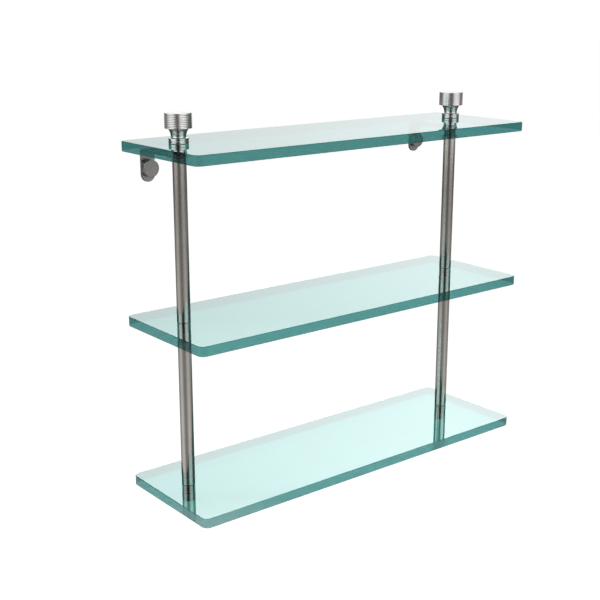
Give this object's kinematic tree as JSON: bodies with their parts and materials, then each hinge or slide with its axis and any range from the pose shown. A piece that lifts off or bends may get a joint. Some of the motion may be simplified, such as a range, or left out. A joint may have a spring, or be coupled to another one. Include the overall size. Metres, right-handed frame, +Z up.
{
  "type": "tiered glass wall shelf",
  "caption": "Wall-hung tiered glass bathroom shelf: rounded glass plates held on satin nickel posts, turned hand-nut finials on top, bent wall straps with round screw covers behind.",
  "frame": {"origin": "on the wall plane, midway between the two wall-screw holes", "axes": "+X along the plates, to the right seen from the room; +Y into the wall; +Z up"},
  "size_m": [0.4064, 0.1323, 0.37],
  "materials": {
    "glass": "clear float glass, polished edges with a ground arris, blue-green on edge",
    "satin_nickel": "satin nickel plate on turned and formed brass",
    "steel": "zinc-plated threaded rod",
    "nylon": "dark moulded nylon"
  },
  "bodies": {
    "shelf": {"glass_shelf_top": "glass", "glass_shelf_middle": "glass", "glass_shelf_bottom": "glass", "post_upper_left": "satin_nickel", "post_upper_right": "satin_nickel", "post_lower_left": "satin_nickel", "post_lower_right": "satin_nickel", "bottom_cap_left": "satin_nickel", "bottom_cap_right": "satin_nickel", "wall_strap_left": "satin_nickel", "wall_strap_right": "satin_nickel", "screw_cover_left": "satin_nickel", "screw_cover_right": "satin_nickel", "screw_cup_left": "satin_nickel", "screw_cup_right": "satin_nickel", "joint_stud_left": "steel", "joint_stud_right": "steel", "bottom_stud_left": "steel", "bottom_stud_right": "steel", "sleeve_top_left": "nylon", "sleeve_top_right": "nylon", "sleeve_middle_left": "nylon", "sleeve_middle_right": "nylon", "sleeve_bottom_left": "nylon", "sleeve_bottom_right": "nylon"},
    "finial_left": {"finial_left": "satin_nickel"},
    "finial_right": {"finial_right": "satin_nickel"},
    "finial_stud_left": {"finial_stud_left": "steel"},
    "finial_stud_right": {"finial_stud_right": "steel"}
  },
  "joints": [
    {"name": "finial_lift_left", "type": "slide", "parent": "shelf", "child": "finial_stud_left", "axis": [0, 0, 1], "range_m": [0, 0.0102]},
    {"name": "finial_turn_left", "type": "hinge", "parent": "finial_stud_left", "child": "finial_left", "pos_m": [-0.17145, -0.05614, 0.02823], "axis": [0, 0, 1], "range_deg": [0, 2880]},
    {"name": "finial_lift_right", "type": "slide", "parent": "shelf", "child": "finial_stud_right", "axis": [0, 0, 1], "range_m": [0, 0.0102]},
    {"name": "finial_turn_right", "type": "hinge", "parent": "finial_stud_right", "child": "finial_right", "pos_m": [0.17145, -0.05614, 0.02823], "axis": [0, 0, 1], "range_deg": [0, 2880]}
  ],
  "couplings": [
    {"joint": "finial_lift_left", "follows": "finial_turn_left", "m_per_rad": 0.00020213},
    {"joint": "finial_lift_right", "follows": "finial_turn_right", "m_per_rad": 0.00020213}
  ]
}
